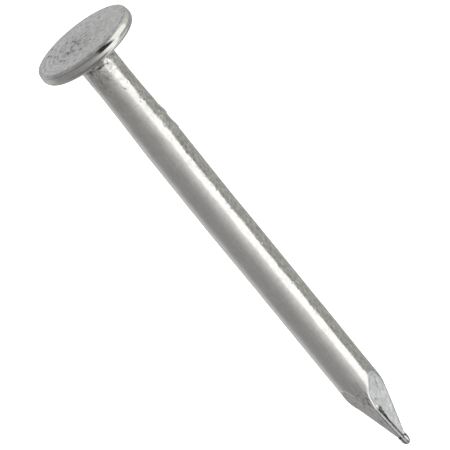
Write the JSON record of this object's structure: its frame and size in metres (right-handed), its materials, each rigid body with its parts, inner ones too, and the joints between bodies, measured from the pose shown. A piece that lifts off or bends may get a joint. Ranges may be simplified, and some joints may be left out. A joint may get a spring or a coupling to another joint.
{
  "type": "clout nail",
  "caption": "Round wire nail with a flat round head, a squeezed neck with grip marks, a plain cylindrical shank and a faceted diamond point that ends in a blunt pinched nib.",
  "frame": {"origin": "centre of the head's underside, the face that bears on what the nail holds", "axes": "+Z along the nail's axis from the tip to the head, +Y and -Y through the two sharp ridges of the point, +X completes the right hand"},
  "size_m": [0.008, 0.008, 0.0411],
  "materials": {
    "headed_steel": "cold headed, satin face with small pits, polished rim",
    "gripped_steel": "bright, mottled and dented by the gripping dies",
    "drawn_steel": "bright drawn, smooth with faint lengthwise lines",
    "pinched_steel": "pressed flat, bright with fine scratches along the point"
  },
  "bodies": {
    "root": {"head": "headed_steel", "neck": "gripped_steel", "shank": "drawn_steel", "point": "pinched_steel", "tip_nib": "pinched_steel"}
  },
  "joints": []
}
